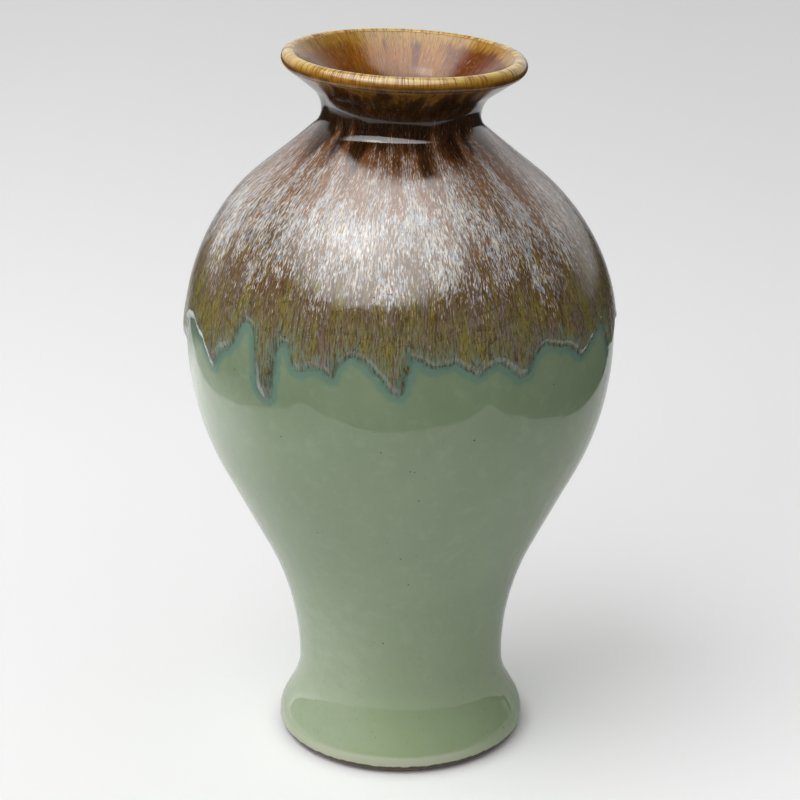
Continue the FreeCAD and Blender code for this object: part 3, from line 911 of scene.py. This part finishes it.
def brown_run():
    glaze = Finish("streaked_brown_glaze", flows=True)
    height = glaze.height
    edge = glaze.attribute("edge", "Fac")
    drift = glaze.streaks(16, 30, 3, 0.55)
    zone = glaze.plus(height, glaze.ranged(drift, 0.25, 0.75, -12, 12, "LINEAR"))
    glaze.colour = glaze.colours(zone, (
        (214, (98, 97, 80)), (234, (116, 112, 80)), (250, (114, 104, 70)), (264, (106, 84, 54)),
        (282, (116, 82, 50)), (300, (144, 97, 57)), (312, (124, 77, 42)), (320, (58, 30, 12)),
        (329, (28, 14, 6)), (340, (33, 18, 7)), (345, (56, 32, 9)), (349, (112, 78, 26))))
    vein = glaze.streaks(0.9, 16, 3, 0.6)
    glaze.wash((50, 36, 20), vein, 0.5, 0.34, 0.5)
    glaze.wash((142, 102, 44), vein, 0.54, 0.68, 0.45, glaze.ranged(height, 326, 300, 0.25, 1))
    patch = glaze.streaks(5, 22, 3, 0.6)
    lower = glaze.ranged(height, 292, 262)
    glaze.wash((128, 116, 50), patch, 0.5, 0.64, 0.7, lower)
    glaze.wash((116, 98, 90), patch, 0.48, 0.36, 0.7, lower)
    thin = glaze.streaks(0.5, 5, 2, 0.65)
    glaze.wash((58, 48, 30), thin, 0.42, 0.32, 0.6)
    glaze.wash((150, 144, 132), thin, 0.58, 0.68, 0.55, glaze.ranged(height, 318, 300))
    coverage = glaze.curve(zone, ((238, 0.05), (250, 0.16), (261, 0.38), (273, 0.74), (289, 0.88),
                                  (300, 0.72), (310, 0.56), (319, 0.24), (328, 0)))
    # Pale cover thickens to the left (-X) and thins to the right: painted light from the left, over
    # flecks the glaze has all round.
    coverage = glaze.times(coverage, glaze.ranged(glaze.x, -90, 90, 0.98, 0.86, "LINEAR"))
    blend, middle = streaked_layers(glaze, coverage, 1)
    glaze.wash((56, 56, 38), edge, 3, 1, 0.5)
    thread = glaze.less(glaze.streaks(0.7, 7, 2, 0.6), glaze.ranged(edge, 17, 1, 0.74, 0.45))
    glaze.wash((104, 132, 120), thread, 0, 0.1, 0.72)
    glaze.wash((92, 102, 88), edge, 9, 2, 0.55, glaze.ranged(height, 232, 214))
    bent = glaze.vector("ADD", glaze.vector("DIVIDE", glaze.flow, (20, 20, 12)),
                        glaze.streaks(9, 9))
    crack = glaze.add("ShaderNodeTexVoronoi", {"Vector": bent, "Scale": 1.0},
                      feature="DISTANCE_TO_EDGE").outputs["Distance"]
    glaze.wash((50, 42, 28), crack, 0.016, 0, 0.5, glaze.ranged(zone, 282, 256))
    # Thin teal line along the lowest edge of the run: thin glaze over the celadon, with a painted
    # highlight along the bead.
    uneven = glaze.ranged(glaze.streaks(2.2, 9), 0.35, 0.6, 0.12, 0.55)
    glaze.wash((92, 122, 110), edge, 0.75, 0.35, 1, uneven)
    below = glaze.ranged(height, 324, 306, 0.2, 1)
    glaze.peel(8, 0.08)
    glaze.relief(glaze.times(blend, below), 0.14)
    glaze.relief(glaze.times(middle, below), 0.1)
    return glaze.done(0.05, 1.55)


def honey_band():
    glaze = Finish("honey_glaze", flows=True)
    beyond = glaze.less(glaze.split(glaze.flow)["Z"], float(ROLL_TOP_RUN))
    hair = glaze.streaks(0.8, 22, 3, 0.65)
    patch = glaze.streaks(14, 30, 3)
    # Round the roll the honey is palest on the ridge and darkest at its lower edge: thinner glaze
    # below, with a painted highlight on the ridge and painted shade under the roll.
    glaze.colour = glaze.colours(beyond, (
        (-7.2, (48, 28, 8)), (-5.6, (104, 68, 18)), (-3.6, (186, 146, 62)),
        (-1.4, (236, 202, 120)), (1.5, (226, 190, 106)), (4.5, (202, 160, 80))))
    glaze.wash((180, 124, 34), patch, 0.45, 0.68, 0.6)
    dark = glaze.less(hair, glaze.ranged(patch, 0.3, 0.7, 0.58, 0.45, "LINEAR"))
    glaze.wash((100, 54, 10), dark, 0, 0.09, 0.85)
    glaze.wash((112, 66, 14), glaze.streaks(2.6, 30), 0.56, 0.66, 0.65)
    glaze.wash((234, 206, 140), hair, 0.46, 0.36, 0.6, glaze.ranged(beyond, -4.5, -1))
    glaze.peel(5, 0.03)
    glaze.relief(hair, 0.05)
    return glaze.done(0.12)


def mouth_lining():
    glaze = Finish("lining_glaze", flows=True)
    beyond = glaze.less(glaze.split(glaze.flow)["Z"], float(LIP_BAND_END))
    drift = glaze.streaks(5, 20, 3, 0.6)
    zone = glaze.plus(beyond, glaze.ranged(drift, 0.3, 0.7, -2.5, 2.5, "LINEAR"))
    # Further down the inside the colour darkens to deep brown: painted shade in the hollow of the
    # neck.
    glaze.colour = glaze.colours(zone, (
        (0, (186, 142, 64)), (6, (180, 132, 46)), (9, (174, 116, 36)),
        (14, (172, 106, 24)), (40, (90, 48, 16)), (70, (66, 46, 28))))
    hair = glaze.streaks(0.8, 18, 3, 0.65)
    glaze.wash((108, 58, 20), hair, 0.5, 0.66, 0.7)
    glaze.wash((196, 150, 84), hair, 0.44, 0.36, 0.6)
    rust = glaze.streaks(24, 70, 1)
    glaze.wash((98, 42, 12), rust, 0.54, 0.6, 0.85, glaze.ranged(zone, 4, 8))
    aside = glaze.plus(glaze.maths("ABSOLUTE", glaze.x),
                       glaze.ranged(hair, 0.3, 0.7, -5, 5, "LINEAR"))
    rusty = glaze.times(glaze.ranged(zone, 3, 8), glaze.ranged(glaze.x, -10, 10, 0.42, 0.85))
    glaze.wash((108, 46, 10), aside, 18, 24, 1, rusty)
    coverage = glaze.curve(zone, ((0, 0), (6, 0.07), (13, 0.22), (40, 0.15), (80, 0.1)))
    blend = streaked_layers(glaze, coverage, 0.3)[0]
    glaze.peel(7, 0.05)
    glaze.relief(blend, 0.05)
    return glaze.done(0.1, 1.4)


def bare_clay():
    clay = Finish("bare_stoneware")
    grit = clay.cloud(1.2, 4, 0.65)
    clay.colour = clay.mix(clay.ranged(clay.cloud(14, 3), 0.35, 0.65),
                           (92, 56, 40), (116, 74, 54))
    clay.wash((58, 38, 30), grit, 0.58, 0.72, 0.6)
    clay.relief(grit, 0.15)
    return clay.done(0.75)


def iron_spots():
    iron = Finish("iron_specks")
    iron.colour = iron.mix(iron.ranged(iron.cloud(0.6), 0.35, 0.65), (24, 18, 14), (58, 40, 28))
    return iron.done(0.3)


CLAY_FINISH = bare_clay()
CLAY_COLUMNS = (("foot", 240), ("lower_body", 96), ("shoulder", 96), ("neck_and_lip", 144))
for (name, columns), section in zip(CLAY_COLUMNS, clay_sections()):
    piece = turned_piece("clay_" + name, section, columns, CLAY_FINISH)
    finished(piece, CLAY_FINISH, name + "_section")

celadon_piece = finished(make_celadon(), celadon(), "green_celadon_glaze")
run_piece = finished(make_run(), brown_run(), "streaked_brown_glaze")
finished(make_lip_band(), honey_band(), "lip_glaze_band")
finished(make_lining(), mouth_lining(), "inner_glaze_lining")

SPECKS = speck_tree()
SPECK_FINISH = iron_spots()
SPECK_RADIUS = 0.45
for name, source, density, seed, slot in (
        ("iron_specks_in_celadon", celadon_piece, 700.0, 5, "celadon_glaze"),
        ("iron_specks_in_run", run_piece, 3200.0, 11, "streaked_brown_glaze")):
    specks = grown(name, source, *SPECKS, {"Per square metre": density, "Seed": seed,
                                           "Radius": SPECK_RADIUS * MM, "Iron": SPECK_FINISH})
    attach(specks, "root")


# Floor, world, lamps and camera, with sizes in metres outside the materials

def make_floor():
    """White paper. Mirrored rays meet a sheet of it, and camera rays see it brighter."""
    work = bmesh.new()
    bmesh.ops.create_circle(work, cap_ends=True, segments=96, radius=8.0)
    mesh = bpy.data.meshes.new("floor")
    work.to_mesh(mesh)
    work.free()
    paper = Finish("floor_paper")
    x, y = paper.x, paper.y
    light = paper.add("ShaderNodeLightPath").outputs
    mirrored, seen = light["Is Glossy Ray"], light["Is Camera Ray"]
    sheet = paper.times(paper.ranged(x, -475, -460), paper.ranged(x, 405, 390),
                        paper.ranged(y, -425, -410))
    paper.colour = paper.mix(paper.times(mirrored, paper.less(1, sheet)),
                             (0.93, 0.93, 0.93, 1), (0.04, 0.04, 0.04, 1))
    # Camera rays see the paper brighter by a glow that varies over the floor, most at the front
    # right: painted light that also lifts the shadow there.
    corner = paper.times(paper.ranged(x, -200, 220, -0.05, 0.085), paper.ranged(y, 420, 0))
    glow = paper.plus(paper.ranged(x, -350, 350, 0.17, 0.13, "LINEAR"), corner)
    # Less glow within a few centimetres of the foot: a painted contact shadow on the paper.
    clear_of_foot = paper.ranged(paper.length(x, y), 56, 74)
    # A patch of paper off to the left glows for mirrored rays only: light painted into the
    # reflections on the vase's left side.
    left = paper.times(paper.ranged(x, -100, -400), paper.ranged(x, -800, -500),
                       paper.ranged(y, -200, 50), paper.ranged(y, 600, 420))
    glow = paper.plus(paper.times(seen, glow, clear_of_foot), paper.times(mirrored, 0.8, left))
    for key, value in (("Emission Color", (1, 1, 1, 1)), ("Emission Strength", glow),
                       ("Specular IOR Level", 0.0)):
        paper.give(paper.shader.inputs[key], value)
    mesh.materials.append(paper.done(0.9))
    floor = linked("floor", mesh)


def make_world():
    """Soft light from the left, and white paper behind the vase for mirrored rays."""
    world = bpy.data.worlds.new("studio")
    bpy.context.scene.world = world
    world.use_nodes = True
    world.node_tree.nodes.clear()
    sky = Nodes(world.node_tree)
    way = sky.split(sky.add("ShaderNodeTexCoord").outputs["Generated"])
    x, y = way["X"], way["Y"]
    behind = sky.ranged(sky.over(y, sky.length(x, y)), 0.45, 0.65)
    paper = sky.times(behind, sky.ranged(way["Z"], 0.75, 0.3))
    mirrored = sky.plus(0.025, sky.times(paper, 0.85))
    level = sky.plus(sky.plus(sky.times(x, -0.19), sky.times(y, -0.04)), 0.455)
    light = sky.add("ShaderNodeLightPath").outputs
    for ray, shown in (("Is Glossy Ray", mirrored), ("Is Camera Ray", 0.8)):
        level = sky.plus(sky.times(light[ray], sky.less(shown, level)), level)
    back = sky.add("ShaderNodeBackground", {"Strength": level, "Color": (1, 1, 1, 1)})
    sky.add("ShaderNodeOutputWorld", {"Surface": back.outputs[0]})


AIM_HEIGHT = 0.28
LAMP_DISTANCE = 1.6
CAMERA_PLACE = (-0.0003, -1.1006, 0.590)
CAMERA_TILT_DEGREES = 69.5
CAMERA_LENS = 105.0


def make_lamp(name, turn_degrees, up_degrees, size, watts, rays, spread_degrees=180):
    """Round softbox aimed at the vase, which only one kind of rays meets."""
    data = bpy.data.lights.new(name, "AREA")
    data.shape = "DISK"
    data.size = size
    data.energy = watts
    data.spread = math.radians(spread_degrees)
    lamp = linked(name, data)
    turn, up = math.radians(turn_degrees), math.radians(up_degrees)
    away = Vector((math.sin(turn) * math.cos(up), -math.cos(turn) * math.cos(up), math.sin(up)))
    lamp.location = away * LAMP_DISTANCE + Vector((0, 0, AIM_HEIGHT))
    lamp.rotation_euler = (-away).to_track_quat("-Z", "Y").to_euler()
    lamp.visible_camera = False
    lamp.visible_diffuse = rays == "diffuse"
    lamp.visible_glossy = rays == "glossy"


def make_camera():
    data = bpy.data.cameras.new("camera")
    data.lens = CAMERA_LENS
    data.sensor_width = 36.0
    camera = linked("camera", data)
    camera.location = CAMERA_PLACE
    camera.rotation_euler = (math.radians(CAMERA_TILT_DEGREES), 0, 0)
    bpy.context.scene.camera = camera


make_floor()
make_world()
make_lamp("round_softbox_seen", -28, 68, 2.95, 70, "glossy", 130)
make_lamp("softbox_bright_core", -44, 57, 0.6, 4, "glossy")
make_lamp("round_softbox_light", -56, 48, 2, 20, "diffuse")
make_camera()
bpy.context.scene.view_settings.view_transform = "Standard"
